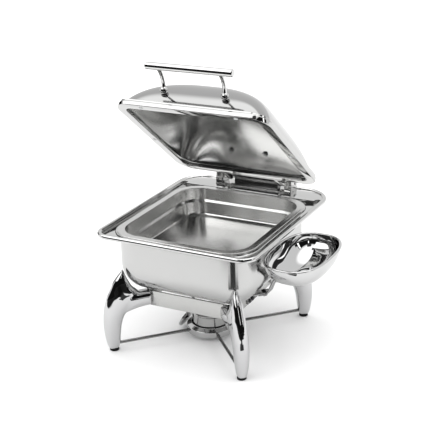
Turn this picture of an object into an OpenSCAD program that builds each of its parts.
// Chafing dish food warmer: hinged-lid water basin with a food pan, on a four-leg stand
// with a fuel burner and a side bowl for spoons.
// Millimetres, +Z up, feet on z = 0. The front (handle side) faces -Y, the bowl is on +X.
// The origin is on the floor under the middle of the overall box.

/* [Basin and flange] */
// Width of the basin flange over its rolled edge
flange_w = 378; // [374:1:384]
// Depth of the basin flange over its rolled edge
flange_d = 448; // [444:1:454]
// Height of the top of the rolled edge above the floor
flange_top = 273.8; // [272:0.1:276]
// Outside diameter of the rolled edge
roll_d = 11; // [10:0.5:11]
// Corner radius of the flange at the front
front_r = 38; // [34:1:42]
// Corner radius of the flange at the rear
rear_r = 70; // [66:1:74]
// Half width of the tub
tub_half_w = 160; // [158:1:161]
// Radius of the tub's corners and of its lower edge
tub_r = 60; // [56:1:60]
// Height of the tub's flat bottom above the floor
tub_z = 133; // [133:0.5:136]

/* [Food pan] */
// Width of the pan over its rim
pan_w = 325; // [324:0.5:325]
// Depth of the pan over its rim
pan_l = 354; // [353:0.5:354]
// Width of the pan rim
pan_rim = 15; // [14:0.5:16]
// Depth of the pan well
pan_deep = 65; // [40:5:100]

/* [Lid] */
// Opening angle of the lid at rest
lid_open = 38.8; // [20:0.1:60]
// Height of the dome above the lid rim
dome_h = 89; // [80:1:100]
// Height of the lid rim band
rim_h = 15; // [13:0.5:16]
// Width of the lid rim band
rim_w = 20; // [16:1:22]
// Length of the handle bar
bar_len = 200; // [180:5:230]
// Diameter of the handle bar
bar_d = 16; // [14:0.5:18]
// Distance between the handle posts
post_gap = 142; // [120:2:150]

/* [Hinge] */
// Diameter of the hinge pin
pin_d = 8; // [6:0.5:9]
// Number of turns of the torsion spring
spring_turns = 9; // [6:1:12]

/* [Stand] */
// Distance from the middle to each foot, side to side
foot_x = 155.5; // [153:0.5:158]
// Distance from the stand's middle to each foot, front to back
foot_y = 162.5; // [160:0.5:165]
// Height of the stand rails
rail_h = 34.8; // [30:0.2:36]
// Diameter of the brace rods
rod_d = 7; // [5:0.5:8]

/* [Burner and bowl] */
// Outside diameter of the burner holder
holder_d = 110; // [106:1:114]
// Diameter of the burner pot
pot_d = 84; // [78:1:86]
// Opening angle of the burner cover at rest, from closed
cover_open = 240; // [200:5:242]
// Length of the spoon bowl
bowl_l = 222; // [200:2:230]
// Depth of the spoon bowl
bowl_deep = 58; // [45:1:60]

/* [Hidden] */

sides = [-1, 1];
overlap = 0.01;
sheet = 1.2;                        // sheet thickness
m5_hole = 5.1;
nut_h = 4;
leg_color = [0.82, 0.83, 0.85];
rail_color = [0.78, 0.78, 0.77];
rod_color = [0.55, 0.55, 0.56];
bracket_color = [0.7, 0.7, 0.71];
bracket_fixing_color = [0.35, 0.35, 0.36];
screw_color = [0.6, 0.6, 0.6];
nut_color = [0.5, 0.5, 0.5];
arm_color = [0.8, 0.8, 0.8];
block_color = [0.88, 0.88, 0.88];
post_color = [0.85, 0.85, 0.87];

// Parts are drawn with x = y = 0 in the middle of the flange; place() moves them to the origin.
stand_y = -48.8;                    // middle of the stand
hinge_axis = [0, 203.2, 286.3];
hinge_y = hinge_axis[1];
hinge_z = hinge_axis[2];
deck_z = 270;                       // top of the hinge deck
ledge_z = 268.4;                    // top of the pan ledge
bowl_x = 230.5;
bowl_y = -65;
bowl_z = 242;                       // top of the bowl
bowl_half_w = 67.8;

// ---------- helpers ----------
module on_lid() {
    place() translate(hinge_axis) rotate([-lid_open, 0, 0]) translate(-hinge_axis) children();
}
module along_x() { rotate([0, 90, 0]) children(); }
// turns +Z to -Y
module along_y() { rotate([90, 0, 0]) children(); }
// frame on the hinge axis at x, with +Z along +X
module on_hinge(x) { translate([x, hinge_y, hinge_z]) along_x() children(); }

function reversed(list) = [for (i = [len(list) - 1 : -1 : 0]) list[i]];
function sign_of(v) = v < 0 ? -1 : 1;

// rounded rectangle from y0 to y1 with its own front and rear radii, true arcs
module round_rect(half_w, y0, y1, front, rear) {
    polygon([[front - half_w, y0], [half_w - front, y0], [half_w, y0 + front],
        [half_w, y1 - rear], [half_w - rear, y1], [rear - half_w, y1],
        [-half_w, y1 - rear], [-half_w, y0 + front]]);
    for (s = sides) translate([s*(half_w - front), y0 + front]) circle(r = front, $fn = 64);
    for (s = sides) translate([s*(half_w - rear), y1 - rear]) circle(r = rear, $fn = 64);
}
// ring of points round a rounded rectangle
function corner_ring(half_w, y0, y1, r, z, per_corner) =
    let (x = half_w - r)
    [for (c = [[x, y0 + r, -90], [x, y1 - r, 0], [-x, y1 - r, 90], [-x, y0 + r, 180]])
        for (i = [0 : per_corner - 1])
            let (a = c[2] + 90*i/(per_corner - 1))
            [c[0] + r*cos(a), c[1] + r*sin(a), z]];
// ring of points round a superellipse; a higher power is squarer
function oval_ring(cx, cy, half_x, half_y, power, z, count) =
    [for (i = [0 : count - 1])
        let (t = 360*i/count, c = cos(t), s = sin(t))
        [cx + half_x*sign_of(c)*pow(abs(c), 2/power),
            cy + half_y*sign_of(s)*pow(abs(s), 2/power), z]];
// closed skin through a list of rings, capped at both ends
module skin(rings) {
    m = len(rings[0]);
    q = len(rings);
    polyhedron(
        [for (r = rings) for (p = r) p],
        concat([[for (i = [0 : m - 1]) i]],
            [for (k = [0 : q - 2]) for (i = [0 : m - 1])
                let (j = (i + 1) % m) [k*m + i, (k + 1)*m + i, (k + 1)*m + j]],
            [for (k = [0 : q - 2]) for (i = [0 : m - 1])
                let (j = (i + 1) % m) [k*m + i, (k + 1)*m + j, k*m + j]],
            [[for (i = [m - 1 : -1 : 0]) (q - 1)*m + i]]),
        convexity = 6);
}
// one side of a strap: its [x, z] middle line moved sideways by dist, corners mitred
function strap_side(pts, dist) =
    let (n = len(pts),
        normals = [for (i = [0 : n - 2]) let (v = pts[i + 1] - pts[i]) [-v[1], v[0]]/norm(v)])
    [for (i = [0 : n - 1])
        let (a = normals[max(0, i - 1)], b = normals[min(n - 2, i)])
        pts[i] + (a + b)*dist/(1 + a*b)];
// flat strap that follows a list of [x, z] points, its width along Y
module strap(pts, thick, width) {
    translate([0, width/2, 0]) along_y() linear_extrude(height = width)
        polygon(concat(strap_side(pts, -thick/2), reversed(strap_side(pts, thick/2))));
}
// small cylinder, used for studs and for holes
module peg(d, h) { cylinder(d = d, h = h, $fn = 32); }
// pan-head bolt: axis +Z, head on top of z = 0, shank below
module bolt(d, length, head_d, head_h) {
    translate([0, 0, -length]) peg(d, length + overlap);
    peg(head_d, head_h);
}
module hex_nut() {
    difference() {
        cylinder(d = 9.2, h = nut_h, $fn = 6);
        translate([0, 0, -1]) peg(m5_hole, 6);
    }
}
module tube(outer_r, inner_r, h) {
    difference() {
        cylinder(r = outer_r, h = h, $fn = 64);
        translate([0, 0, -1]) cylinder(r = inner_r, h = h + 2, $fn = 64);
    }
}

// ---------- legs ----------
// stations up a front leg, measured outward from the foot's axis:
// [height, inner face, outer face, half width]
horn = [
    [5, -10, 11.5, 9.5], [14, -13, 15, 12], [37, -16, 19, 15], [62, -20, 20.5, 16.5],
    [84, -29, 19.2, 17], [100, -46, 17, 17.2], [115, -60, 13.5, 17.2], [128, -62, 9.2, 16.5],
    [136, -58, 5, 15.5], [146, -47.5, 0, 14], [158, -41, -5.5, 12], [170, -35.5, -14.5, 9],
    [180, -32.2, -23, 5.5], [188, -29.6, -27.6, 1.2]];
// the rear legs stand further in under the basin, so their tips lean out round its corners
rear_horn = concat([for (i = [0 : 6]) horn[i]], [
    [128, -56, 12, 16.5], [136, -43, 11.5, 14.2], [146, -20, 10.5, 12], [158, -7, 9.2, 9.5],
    [170, 0.5, 7.2, 7], [180, 3.6, 6.4, 4.6], [188, 4.8, 6, 1.2]]);
// stations along the arm that reaches in to the rails: [outward place, underside, top, half width]
leg_arm = [[-20, 84, 130, 15], [-35, 89, 131.5, 16.5], [-52, 94, 131.5, 17],
    [-70, 97, 131.4, 17], [-86, 98, 131.2, 17]];
function horn_ring(s) = oval_ring((s[1] + s[2])/2, 0, (s[2] - s[1])/2, s[3], 2.2, s[0], 24);
function leg_arm_ring(s) =
    [for (p = oval_ring(0, (s[1] + s[2])/2, s[3], (s[2] - s[1])/2, 3.2, 0, 24))
        [s[0], -p[0], p[1]]];

// Middle of the overall box. The flange sets its left and rear, the bowl its right
// and the front legs, turned 45 degrees, its front.
mid_x = (bowl_x + bowl_half_w - flange_w/2)/2;
leg_out = max([for (s = horn) for (p = horn_ring(s)) (p[0] + p[1])/sqrt(2)]);
mid_y = (flange_d/2 + stand_y - foot_y - leg_out)/2;
module place() { translate([-mid_x, -mid_y, 0]) children(); }

// one leg, drawn with its foot axis at the origin and outward along +X;
// side is -1 left, 1 right; end is -1 front, 1 rear
module leg(side, end) {
    color(leg_color) place()
        translate([side*foot_x, stand_y + end*foot_y, 0]) rotate([0, 0, atan2(end, side)])
        difference() {
            union() {
                skin([for (s = (end > 0 ? rear_horn : horn)) horn_ring(s)]);
                skin([for (s = leg_arm) leg_arm_ring(s)]);
            }
            // blind hole for the pad stud
            translate([0, 0, 4]) peg(6.1, 9);
        }
}
module leg_front_left() { leg(-1, -1); }
module leg_front_right() { leg(1, -1); }
module leg_rear_left() { leg(-1, 1); }
module leg_rear_right() { leg(1, 1); }
module foot_pads() {
    color([0.05, 0.05, 0.05]) place()
        for (side = sides, end = sides) translate([side*foot_x, stand_y + end*foot_y, 0]) {
            cylinder(r = 10, h = 4.9, $fn = 48);
            peg(6, 12);
        }
}

// ---------- rails and rods ----------
rail_top = 132.8;
rail_t = 4;
side_rail_x = 103;                  // middle of each side rail's thickness
side_rail_len = 194;
cross_rail_y = 108;                 // front and rear rails, from the stand's middle
cross_rail_len = 180;
rail_bolt_z = 108;
rail_bolt_pitch = 14;

// flat rail on edge, x and y at its middle
module rail(x, y, size_x, size_y) {
    translate([x - size_x/2, stand_y + y - size_y/2, rail_top - rail_h])
        cube([size_x, size_y, rail_h]);
}
module cross_rail(end) {
    color(rail_color) place() rail(0, end*cross_rail_y, cross_rail_len, rail_t);
}
// frames on the bracket bolts in the right rail, +Z along +X
module at_rail_bolts(x) {
    for (s = sides) translate([x, bowl_y + s*rail_bolt_pitch/2, rail_bolt_z]) along_x() children();
}
module rail_front() { cross_rail(-1); }
module rail_rear() { cross_rail(1); }
module rail_left() {
    color(rail_color) place() rail(-side_rail_x, 0, rail_t, side_rail_len);
}
module rail_right() {
    color(rail_color) place() difference() {
        rail(side_rail_x, 0, rail_t, side_rail_len);
        at_rail_bolts(90) peg(m5_hole, 30);
    }
}
// rod from a foot to the burner holder
module rod(side, end) {
    start = holder_d/2 - 1;
    color(rod_color) place() translate([0, stand_y, 15])
        rotate([0, 0, atan2(end*foot_y, side*foot_x)]) along_x()
        translate([0, 0, start]) peg(rod_d, norm([foot_x, foot_y]) - 9 - start);
}
module brace_rod_front_left() { rod(-1, -1); }
module brace_rod_front_right() { rod(1, -1); }
module brace_rod_rear_left() { rod(-1, 1); }
module brace_rod_rear_right() { rod(1, 1); }

// ---------- burner ----------
pot_top = 58;
cover_hinge = [-42.5, stand_y, 61.5];
cover_pin_d = 3;
cover_pin_hole = cover_pin_d + 0.1;
ear_y = 8;                          // middle of each pin ear, from the pot's middle
ear_t = 3;
ear_d = 7;

// frame on the cover's hinge line, y from the pot's middle, +Z towards the front
module on_cover_hinge(y) { translate(cover_hinge + [0, y, 0]) along_y() children(); }

module burner_holder() {
    r = holder_d/2;
    // [radius, height]
    color([0.75, 0.75, 0.76]) place() translate([0, stand_y, 0]) rotate_extrude($fn = 96)
        polygon([[20, 10], [r, 10], [r, 23.5], [r - 0.6, 24.3], [r - 9.5, 29],
            [r - 9.5, 30.2], [r - 10.7, 30.2], [r - 10.7, 28.2], [r - 1.4, 23.2],
            [r - 1.4, 11.4], [20, 11.4]]);
}
module burner_pot() {
    r = pot_d/2;
    color([0.7, 0.7, 0.71]) place() {
        // [radius, height]
        translate([0, stand_y, 0]) rotate_extrude($fn = 96)
            polygon([[0, 11.6], [r - 1.5, 11.6], [r, 13.1], [r, pot_top - 2], [r - 2, pot_top],
                [22, pot_top], [22, pot_top - 1], [r - 2.4, pot_top - 1], [r - 1, pot_top - 2.4],
                [r - 1, 13.5], [r - 1.9, 12.6], [0, 12.6]]);
        // two ears that hold the cover pin
        for (s = sides) difference() {
            union() {
                on_cover_hinge(s*ear_y + ear_t/2) peg(ear_d, ear_t);
                translate(cover_hinge + [-ear_d/2, s*ear_y - ear_t/2, -10])
                    cube([ear_d, ear_t, 10]);
            }
            on_cover_hinge(s*ear_y + 3) peg(cover_pin_hole, 6);
            translate([0, stand_y, 0]) cylinder(r = r - 0.5, h = pot_top, $fn = 96);
        }
    }
}
// drawn closed and turned to its rest angle
module burner_cover() {
    color([0.78, 0.78, 0.79]) place()
        translate(cover_hinge) rotate([0, -cover_open, 0]) translate(-cover_hinge)
        difference() {
            union() {
                // domed cap with a turned-down edge, [radius, height]
                translate([0, stand_y, pot_top + 0.6]) rotate_extrude($fn = 72)
                    polygon([[23.3, 0], [24.5, 0], [24.5, 3.2], [23.2, 5.2], [16, 7.4], [8, 8.5],
                        [0, 8.8], [0, 7.6], [8, 7.3], [15.8, 6.3], [22.4, 4.3], [23.3, 3]]);
                // tongue and knuckle
                translate(cover_hinge + [0, -4, -0.4]) cube([21, 8, 2]);
                on_cover_hinge(6.2) peg(6.4, 12.4);
            }
            on_cover_hinge(10) peg(cover_pin_hole, 20);
        }
}
module burner_cover_pin() {
    color([0.6, 0.6, 0.61]) place() on_cover_hinge(11) peg(cover_pin_d, 22);
}

// ---------- spoon bowl and its bracket ----------
// stations up the bowl's wall, as fractions of its depth
bowl_k = [0.985, 0.94, 0.86, 0.74, 0.6, 0.44, 0.26, 0.1];
// stations over the rolled lip: [inset, distance below the top]
bowl_lip = [[2, 3.4], [0.3, 2.6], [0, 1.2], [1.1, 0], [3.2, 0.6]];
bowl_bolt_x = [218, 232];

strap_t = 3;
strap_w = 26;
lap_step = strap_t + 0.1;           // between the middle lines of the lapped straps
rail_face = side_rail_x + rail_t/2;
arm_x = rail_face + 0.1 + strap_t/2;
// middle lines of the two flat straps that carry the bowl, [x, z]
arm_pts = [[arm_x, 101], [arm_x, 117], [113, 124], [149, 135]];
lap_along = (arm_pts[3] - arm_pts[2])/norm(arm_pts[3] - arm_pts[2]);
lap_down = [lap_along[1], -lap_along[0]];
lap_start = arm_pts[3] - lap_along*18 + lap_down*lap_step;
lap_end = arm_pts[3] + lap_down*lap_step + lap_along;
lap_bolt = arm_pts[3] - lap_along*9;
strap_top = bowl_z - bowl_deep*bowl_k[0] - 0.06;
strap_mid = strap_top - strap_t/2;
strap_pts = [lap_start, lap_end, [154.5, 139], [160, 152], [166, 166], [173, 176.2],
    [184, strap_top - 2.4], [196, strap_mid], [238, strap_mid]];

// scale of the bowl's outline at fraction k of its depth
function bowl_scale(k) = k >= 1 ? 0.3 : pow(cos(asin(k)*0.96), 0.8);
function bowl_ring(inset, z, scale = 1) =
    oval_ring(bowl_x, bowl_y, bowl_half_w*scale - inset, bowl_l/2*scale - inset, 2.6, z, 48);

// frame on the lap bolt: +Z points down through the two straps
module at_lap() {
    translate([lap_bolt[0], bowl_y, lap_bolt[1]])
        rotate([0, 90 + atan2(-lap_down[1], lap_down[0]), 0]) children();
}
module at_bowl_bolts(z) { for (x = bowl_bolt_x) translate([x, bowl_y, z]) children(); }
module lap_hole() { at_lap() translate([0, 0, -15]) peg(m5_hole, 30); }
module bowl_bolt_holes() { at_bowl_bolts(strap_top - 10) peg(m5_hole, 30); }

module spoon_bowl() {
    color([0.85, 0.86, 0.88]) place() difference() {
        skin(concat(
            [for (k = bowl_k) bowl_ring(2, bowl_z - bowl_deep*k, bowl_scale(k))],
            [for (p = bowl_lip) bowl_ring(p[0], bowl_z - p[1])],
            [for (k = reversed(bowl_k))
                bowl_ring(3.2, bowl_z - bowl_deep*k + sheet*k, bowl_scale(k))]));
        bowl_bolt_holes();
    }
}
// strap bolted to the right rail, reaching out under the basin
module bracket_arm() {
    color(bracket_color) place() difference() {
        translate([0, bowl_y, 0]) strap(arm_pts, strap_t, strap_w);
        at_rail_bolts(90) peg(m5_hole, 30);
        lap_hole();
    }
}
// strap that climbs from the lap to the underside of the bowl
module spoon_bracket() {
    color(bracket_color) place() difference() {
        translate([0, bowl_y, 0]) strap(strap_pts, strap_t, strap_w);
        lap_hole();
        bowl_bolt_holes();
    }
}
module bracket_bolts() {
    color(bracket_fixing_color) place() {
        at_rail_bolts(arm_x + strap_t/2 + 0.05) bolt(5, 12, 9, 3);
        at_lap() translate([0, 0, lap_step + strap_t/2 + 0.1]) bolt(5, 11, 10, 4);
    }
}
module bracket_nuts() {
    color(bracket_fixing_color) place() {
        at_rail_bolts(rail_face - rail_t - nut_h - 0.1) hex_nut();
        at_lap() translate([0, 0, -strap_t/2 - nut_h - 0.1]) hex_nut();
    }
}
// two bolts that clamp the bowl to the bracket from below
module bowl_bolts() {
    color([0.3, 0.3, 0.31]) place()
        at_bowl_bolts(strap_top - strap_t - 0.05) rotate([180, 0, 0]) bolt(5, 4.2, 9, 3);
}

// ---------- basin ----------
tub_front = -196;
tub_rear = 142;
gutter_z = 262.4;                   // underside of the gutter floor
deck_front = 151.9;
pan_y = -27;                        // middle of the pan
pan_front = pan_y - pan_l/2;
pan_rear = pan_y + pan_l/2;

function tub_ring(inset, z) = corner_ring(tub_half_w - inset, tub_front + inset,
    tub_rear - inset, max(tub_r - inset, 3), z, 12);
// ring on the tub's lower edge, t in from the outside, at angle a up from the flat bottom's rim
function tub_edge_ring(a, t) =
    let (r = tub_r - t)
    tub_ring(t + r*(1 - sin(a)), tub_z + t + r*(1 - cos(a)));

module water_basin() {
    steps = 8;
    top = ledge_z - sheet - 0.1;
    color([0.8, 0.8, 0.79]) place() skin(concat(
        [for (i = [0 : steps]) tub_edge_ring(90*i/steps, 0)],
        [tub_ring(0, top), tub_ring(sheet, top)],
        [for (i = [steps : -1 : 0]) tub_edge_ring(90*i/steps, sheet)]));
}
// outline of the flange, set in
module flange_2d(inset) {
    half_d = flange_d/2 - inset;
    round_rect(flange_w/2 - inset, -half_d, half_d, front_r - inset, rear_r - inset);
}
// outline of the pan rim, grown
module pan_rim_2d(grow) {
    r = 62 + grow;
    round_rect(pan_w/2 + grow, pan_front - grow, pan_rear + grow, r, r);
}
module roll_tube() {
    r = roll_d/2;
    bore = r - 1.2;
    half_w = flange_w/2 - r;
    half_d = flange_d/2 - r;
    front = front_r - r;
    rear = rear_r - r;
    roll_z = flange_top - r;
    module cross_run(y, half_len) {
        translate([-half_len, y, roll_z]) along_x() tube(r, bore, 2*half_len);
    }
    module bend(x, y, bend_r, angle) {
        translate([x, y, roll_z]) rotate([0, 0, angle])
            rotate_extrude(angle = 90, $fn = 48) translate([bend_r, 0]) difference() {
                circle(r = r, $fn = 24);
                circle(r = bore, $fn = 24);
            }
    }
    for (s = sides) translate([s*half_w, front - half_d, roll_z]) rotate([-90, 0, 0])
        tube(r, bore, 2*half_d - front - rear);
    cross_run(-half_d, half_w - front);
    cross_run(half_d, half_w - rear);
    bend(front - half_w, front - half_d, front, 180);
    bend(half_w - front, front - half_d, front, 270);
    bend(half_w - rear, half_d - rear, rear, 0);
    bend(rear - half_w, half_d - rear, rear, 90);
}
// part of the flange outline behind deck_front, as deep as given
module deck_2d(depth) {
    intersection() {
        flange_2d(roll_d/2 + 4.9);
        translate([-200, deck_front]) square([400, depth]);
    }
}
module basin_flange() {
    color([0.86, 0.86, 0.87]) place() {
        roll_tube();
        // gutter floor
        translate([0, 0, gutter_z]) linear_extrude(sheet) difference() {
            flange_2d(roll_d/2 + 1.5);
            pan_rim_2d(2.1);
        }
        // wall and ledge that carry the pan
        translate([0, 0, gutter_z]) linear_extrude(ledge_z - gutter_z) difference() {
            pan_rim_2d(2.7);
            pan_rim_2d(1.5);
        }
        translate([0, 0, ledge_z - sheet]) linear_extrude(sheet) difference() {
            pan_rim_2d(2.7);
            pan_rim_2d(-11.5);
        }
        // raised hinge deck at the rear: front wall, then top
        translate([0, 0, gutter_z]) linear_extrude(deck_z - gutter_z) deck_2d(1.6);
        translate([0, 0, deck_z - sheet]) linear_extrude(sheet) difference() {
            deck_2d(80);
            at_block_screws(0) circle(d = block_screw_hole, $fn = 32);
        }
    }
}

// ---------- food pan ----------
pan_top = 270;
pan_t = 0.8;
pan_step = -30*pan_deep/65;         // height of the step in the wall, below the pan's top
// down the inside of the well: [inset, corner radius, height from the pan's top]
pan_wall = [
    [pan_rim, 57, -1.2],
    [pan_rim + 1.2, 56, -4],
    [pan_rim + 2.2, 55, pan_step + 2.5],
    [pan_rim + 3.4, 54, pan_step + 0.8],
    [pan_rim + 6.2, 51, pan_step],
    [pan_rim + 7.6, 50, pan_step - 1.5],
    [pan_rim + 10.4, 47, 13 - pan_deep],
    [pan_rim + 12, 46, 7 - pan_deep],
    [pan_rim + 16, 42, 2.4 - pan_deep],
    [pan_rim + 24, 36, pan_t - pan_deep]];
// from the underside of the rim over its edge to the top, same columns
pan_lip = [[pan_rim - 1.6, 58, -1.4], [0.4, 62, -1.4], [0, 62, -0.9], [0.6, 61.6, 0],
    [pan_rim - 1.2, 58, 0]];
function pan_ring(p) = corner_ring(pan_w/2 - p[0], pan_front + p[0], pan_rear - p[0],
    p[1], pan_top + p[2], 13);

module food_pan() {
    color([0.74, 0.74, 0.74]) place() skin(concat(
        // outside of the well; it drops by the full thickness only near the bottom
        [for (i = [len(pan_wall) - 1 : -1 : 0])
            pan_ring(pan_wall[i] + [-pan_t, pan_t, i > 6 ? -pan_t : -0.3])],
        [for (p = pan_lip) pan_ring(p)],
        [for (p = pan_wall) pan_ring(p)]));
}

// ---------- hinge ----------
block_x = 80;                       // inner face of each hinge block
block_w = 17;
block_mid = block_x + block_w/2;
block_out = block_x + block_w;
block_front = 177;
block_rear = 213;
block_screw_y = [185, 194.5];
block_screw_hole = 4.1;
seat_z = deck_z + 2.1;              // underside of the blocks and of the barrel's foot
pin_hole = pin_d + 0.1;
barrel_half = 56;                   // half length
barrel_r = 10.5;

module at_block_screws(z, at_sides = sides) {
    for (s = at_sides, y = block_screw_y) translate([s*block_mid, y, z]) children();
}
module hinge_base() {
    color(screw_color) place() difference() {
        translate([-block_out, block_front - 2, deck_z + 0.05])
            cube([2*block_out, block_rear - block_front + 2, 2]);
        at_block_screws(deck_z - 5) peg(block_screw_hole, 20);
    }
}
module hinge_block(side) {
    x = side*block_mid - block_w/2;
    depth = block_rear - block_front;
    color(block_color) place() difference() {
        union() {
            translate([x, block_front, seat_z]) cube([block_w, depth, hinge_z - seat_z]);
            translate([x, block_front + 2, seat_z]) cube([block_w, depth - 13, 27]);
            on_hinge(x) cylinder(r = 9.8, h = block_w, $fn = 48);
        }
        on_hinge(x - 1) cylinder(d = pin_hole, h = block_w + 2, $fn = 48);
        // screws from below hold the block
        at_block_screws(deck_z, [side]) peg(block_screw_hole, 11);
    }
}
module hinge_block_left() { hinge_block(-1); }
module hinge_block_right() { hinge_block(1); }
module hinge_block_screws() {
    color(screw_color) place()
        at_block_screws(deck_z - sheet - 0.05) rotate([180, 0, 0]) bolt(4, 11, 7.4, 2.2);
}
module hinge_pin() {
    color([0.65, 0.65, 0.66]) place()
        on_hinge(-block_out - 1.5) cylinder(d = pin_d, h = 2*block_out + 3, $fn = 48);
}
module hinge_barrel() {
    color([0.5, 0.5, 0.51]) place() {
        on_hinge(-barrel_half) tube(barrel_r, barrel_r - 1.4, 2*barrel_half);
        // foot that stands on the hinge base
        difference() {
            translate([-barrel_half, hinge_y - 9, seat_z]) cube([2*barrel_half, 18, 8]);
            on_hinge(-barrel_half - 1)
                cylinder(r = barrel_r - 0.5, h = 2*barrel_half + 2, $fn = 64);
        }
    }
}
// coil spring round the pin, inside the barrel
module torsion_spring() {
    coil_r = 6.6;
    wire_r = 0.9;
    per_turn = 18;
    wire_sides = 6;
    n = spring_turns*per_turn;
    length = 2*barrel_half - 16;
    color([0.4, 0.4, 0.42]) place() translate([-length/2, hinge_y, hinge_z])
        skin([for (i = [0 : n])
            let (a = 360*i/per_turn, x = length*i/n)
            [for (j = [0 : wire_sides - 1])
                let (b = -360*j/wire_sides, r = coil_r + wire_r*cos(b))
                [x + wire_r*sin(b), r*cos(a), r*sin(a)]]]);
}

// ---------- lid, drawn closed and turned to its rest angle ----------
lid_half_w = 177.3;
lid_front = -212.3;
lid_rear = 152.5;
lid_z = 271;                        // underside of the rim
lid_r = 40;
lid_mid_y = (lid_front + lid_rear)/2;
dome_inset = 8;                     // dome base set in from the rim's edge
dome_half_w = lid_half_w - dome_inset;
dome_half_d = (lid_rear - lid_front)/2 - dome_inset;
dome_z = lid_z + 13;                // foot of the dome
dome_shift = -19;                   // the crown's shift along Y
base_power = 10;                    // squareness of the outline at the foot
crown_power = 2.2;                  // and at the crown
dome_angles = [0, 2, 6, 12, 20, 28, 36, 44, 52, 60, 68, 75, 81, 86, 89];

// outline scale and height fraction at angle a up the dome
function dome_scale(a) = pow(cos(a), 0.667);
function dome_rise(a) = pow(sin(a), 1.667);
// point on the dome's middle section, end -1 front, 1 rear: [y, z]
function dome_point(a, end) = [
    lid_mid_y + dome_shift*dome_rise(a) + end*dome_half_d*dome_scale(a),
    dome_z + dome_h*dome_rise(a)];
function dome_ring(a, t) =
    let (g = dome_scale(a), h = dome_rise(a))
    oval_ring(0, lid_mid_y + dome_shift*h, dome_half_w*g - t, dome_half_d*g - t,
        base_power + (crown_power - base_power)*h,
        dome_z + dome_h*h - (h > 0.02 ? t*h : 0), 80);

// frames on the handle posts' feet, +Z outward from the dome's front
post_at = dome_point(31.7, -1);
post_tilt = 29;                     // outward normal of the dome there, above level
module at_post(side) {
    translate([side*post_gap/2, post_at[0], post_at[1]]) rotate([90 - post_tilt, 0, 0]) children();
}
module at_posts(z) { for (s = sides) at_post(s) translate([0, 0, z]) children(); }

// frames on the hinge bracket's bolts, +Z outward from the dome's rear slope
plate_at = dome_point(34.15, 1);
plate_turn = 43;                    // slope there, off the level
plate_bolt_x = 43.3;
module at_plate(x) {
    translate([x, plate_at[0], plate_at[1]]) rotate([-plate_turn, 0, 0]) children();
}
module at_plate_bolts(z) {
    for (s = sides) at_plate(s*plate_bolt_x) translate([0, 0, z]) children();
}

module lid_shell() {
    color([0.84, 0.85, 0.86]) on_lid() difference() {
        skin(concat([for (a = reversed(dome_angles)) dome_ring(a, 1)],
            [for (a = dome_angles) dome_ring(a, 0)]));
        at_posts(-12) peg(6.4, 24);
        at_plate_bolts(-12) peg(5.2, 24);
    }
}
module lid_2d(inset) {
    r = lid_r - min(inset, 30);
    round_rect(lid_half_w - inset, lid_front + inset, lid_rear - inset, r, r);
}
// band of the rim between two insets, z above the lid's underside
module rim_band(z, h, outer, inner) {
    translate([0, 0, lid_z + z]) linear_extrude(h) difference() {
        lid_2d(outer);
        lid_2d(inner);
    }
}
module lid_rim() {
    color([0.88, 0.88, 0.89]) on_lid() {
        // lower face
        rim_band(0, 1.2, 0, rim_w);
        // outer wall, stepping in to the dome
        difference() {
            rim_band(0, 9, 0, 1.2);
            arm_screw_holes();
        }
        rim_band(8, 4, 0.8, 3);
        rim_band(11, rim_h - 11, 2.2, dome_inset - 0.6);
        // inner wall
        rim_band(0, 6, rim_w - 1.2, rim_w);
    }
}

// ---------- lid arms and bracket ----------
lid_arm_x = 66;                     // middle of each arm
lid_arm_t = 8;

// frames on the arm screws, +Z towards the rear
module at_arm_screws(y) {
    for (m = sides, s = sides)
        translate([m*lid_arm_x + s*7.6, y, lid_z + 4.6]) rotate([-90, 0, 0]) children();
}
module arm_screw_holes() { at_arm_screws(lid_rear - 5) peg(3.1, 12); }

// [y, z] of a point given down the rear slope and out from it
function plate_point(along, out) =
    plate_at + along*[cos(plate_turn), -sin(plate_turn)] + out*[sin(plate_turn), cos(plate_turn)];
// outline of the rib that climbs from the hinge knuckle to the bracket on the dome, [y, z]
rib = [plate_point(13, 3.2), plate_point(-11, 3.2), plate_point(-11, 5.5), plate_point(-6, 9),
    [172, 308], [200, 294], [hinge_y, hinge_z], [190, 284], [157, 284], [150, 289]];

// arm that joins the rim's rear face to the hinge pin
module lid_arm(side) {
    start = lid_rear + 0.1;
    color(arm_color) on_lid() difference() {
        translate([side*lid_arm_x, 0, 0]) {
            on_hinge(-lid_arm_t/2) cylinder(r = 8.5, h = lid_arm_t, $fn = 48);
            translate([-lid_arm_t/2, start, hinge_z - 13.5])
                cube([lid_arm_t, hinge_y - lid_rear - 4, 12]);
            // foot screwed to the rim
            translate([-11, start, lid_z + 1.2]) cube([22, 4, 12.6]);
            translate([-lid_arm_t/2, 0, 0]) rotate([90, 0, 90])
                linear_extrude(height = lid_arm_t) polygon(rib);
        }
        on_hinge(side*lid_arm_x - 20) cylinder(d = pin_hole, h = 40, $fn = 48);
        arm_screw_holes();
    }
}
module lid_arm_left() { lid_arm(-1); }
module lid_arm_right() { lid_arm(1); }
module lid_arm_screws() {
    color(screw_color) on_lid() at_arm_screws(lid_rear + 4.15) bolt(3, 7.4, 5.6, 1.6);
}
// flat plate across the dome's rear slope, over both ribs' ends and bolted through the dome
module lid_bracket() {
    color(arm_color) on_lid() difference() {
        at_plate(0) translate([-72, -14, 0.15]) cube([144, 28, 3]);
        at_plate_bolts(-5) peg(m5_hole, 15);
    }
}
module lid_bracket_bolts() { color(screw_color) on_lid() at_plate_bolts(3.2) bolt(5, 12.4, 9, 3); }
module lid_bracket_washers() {
    color(screw_color) on_lid() at_plate_bolts(-3.2) tube(6.5, 2.6, 1.4);
}
module lid_bracket_nuts() { color(nut_color) on_lid() at_plate_bolts(-7.4) hex_nut(); }
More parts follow.
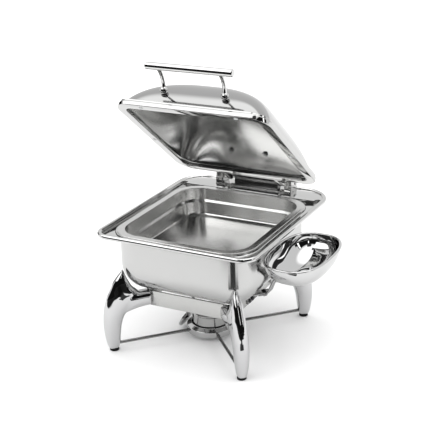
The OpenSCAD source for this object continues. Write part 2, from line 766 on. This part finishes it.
// pads under the rim, two at the front and one at each side
module lid_bumpers() {
    pad_inset = 11;
    front_y = lid_front + pad_inset;
    side_x = lid_half_w - pad_inset;
    color([0.75, 0.76, 0.76]) on_lid()
        for (p = [[-110, front_y], [110, front_y], [-side_x, -20], [side_x, -20]])
            translate([p[0], p[1], lid_z - 0.85]) peg(9, 0.8);
}

// ---------- handle ----------
bar_at = [-246.7, 347.7];           // axis of the bar, [y, z]
bar_bevel = 1.5;
stud_hole = 6.1;
// ends of the posts' middle line, [y, z]
post_root = post_at + 5*[-cos(post_tilt), sin(post_tilt)];
post_tip = bar_at + [6.6, -3.2];

module handle_bar() {
    end_d = bar_d - 2*bar_bevel;
    color([0.88, 0.88, 0.9]) on_lid()
        translate([-bar_len/2, bar_at[0], bar_at[1]]) along_x() union() {
            translate([0, 0, bar_bevel]) cylinder(d = bar_d, h = bar_len - 2*bar_bevel, $fn = 64);
            cylinder(d1 = end_d, d2 = bar_d, h = bar_bevel, $fn = 64);
            translate([0, 0, bar_len - bar_bevel])
                cylinder(d1 = bar_d, d2 = end_d, h = bar_bevel, $fn = 64);
        }
}
// curved post from the dome to the bar: a bend in the Y-Z plane
module handle_post(side) {
    steps = 8;
    sag = -4.5;
    r = 4.6;
    chord = post_tip - post_root;
    across = [-chord[1], chord[0]]/norm(chord);
    pts = [for (i = [0 : steps])
        let (k = i/steps) post_root + chord*k + across*(sag*4*k*(1 - k))];
    color(post_color) on_lid() {
        skin([for (i = [0 : steps])
            let (t = pts[min(i + 1, steps)] - pts[max(i - 1, 0)], normal = [-t[1], t[0]]/norm(t))
            [for (j = [0 : 19])
                let (b = 360*j/20, p = pts[i] + normal*r*cos(b))
                [side*post_gap/2 + r*sin(b), p[0], p[1]]]]);
        // stud through the dome
        at_post(side) translate([0, 0, -8]) peg(6, 15);
    }
}
module handle_post_left() { handle_post(-1); }
module handle_post_right() { handle_post(1); }
module handle_collars() {
    color([0.88, 0.88, 0.9]) on_lid() at_posts(0) difference() {
        translate([0, 0, 6.2]) sphere(r = 8.6, $fn = 48);
        translate([0, 0, -10]) cylinder(r = 12, h = 10.6, $fn = 32);
        translate([0, 0, -1]) peg(stud_hole, 6);
    }
}
module handle_washers() { color(screw_color) on_lid() at_posts(-3.4) tube(8, 3.1, 1.4); }
module handle_nuts() {
    color(nut_color) on_lid() at_posts(-7.6) difference() {
        cylinder(d = 11.5, h = nut_h, $fn = 6);
        translate([0, 0, -1]) peg(stud_hole, 7);
    }
}

leg_front_left();
leg_front_right();
leg_rear_left();
leg_rear_right();
foot_pads();
rail_front();
rail_rear();
rail_left();
rail_right();
brace_rod_front_left();
brace_rod_front_right();
brace_rod_rear_left();
brace_rod_rear_right();
burner_holder();
burner_pot();
burner_cover();
burner_cover_pin();
spoon_bowl();
bracket_arm();
spoon_bracket();
bracket_bolts();
bracket_nuts();
bowl_bolts();
water_basin();
basin_flange();
food_pan();
hinge_base();
hinge_block_left();
hinge_block_right();
hinge_block_screws();
hinge_pin();
hinge_barrel();
torsion_spring();
lid_shell();
lid_rim();
lid_arm_left();
lid_arm_right();
lid_arm_screws();
lid_bumpers();
lid_bracket();
lid_bracket_bolts();
lid_bracket_washers();
lid_bracket_nuts();
handle_bar();
handle_post_left();
handle_post_right();
handle_collars();
handle_washers();
handle_nuts();
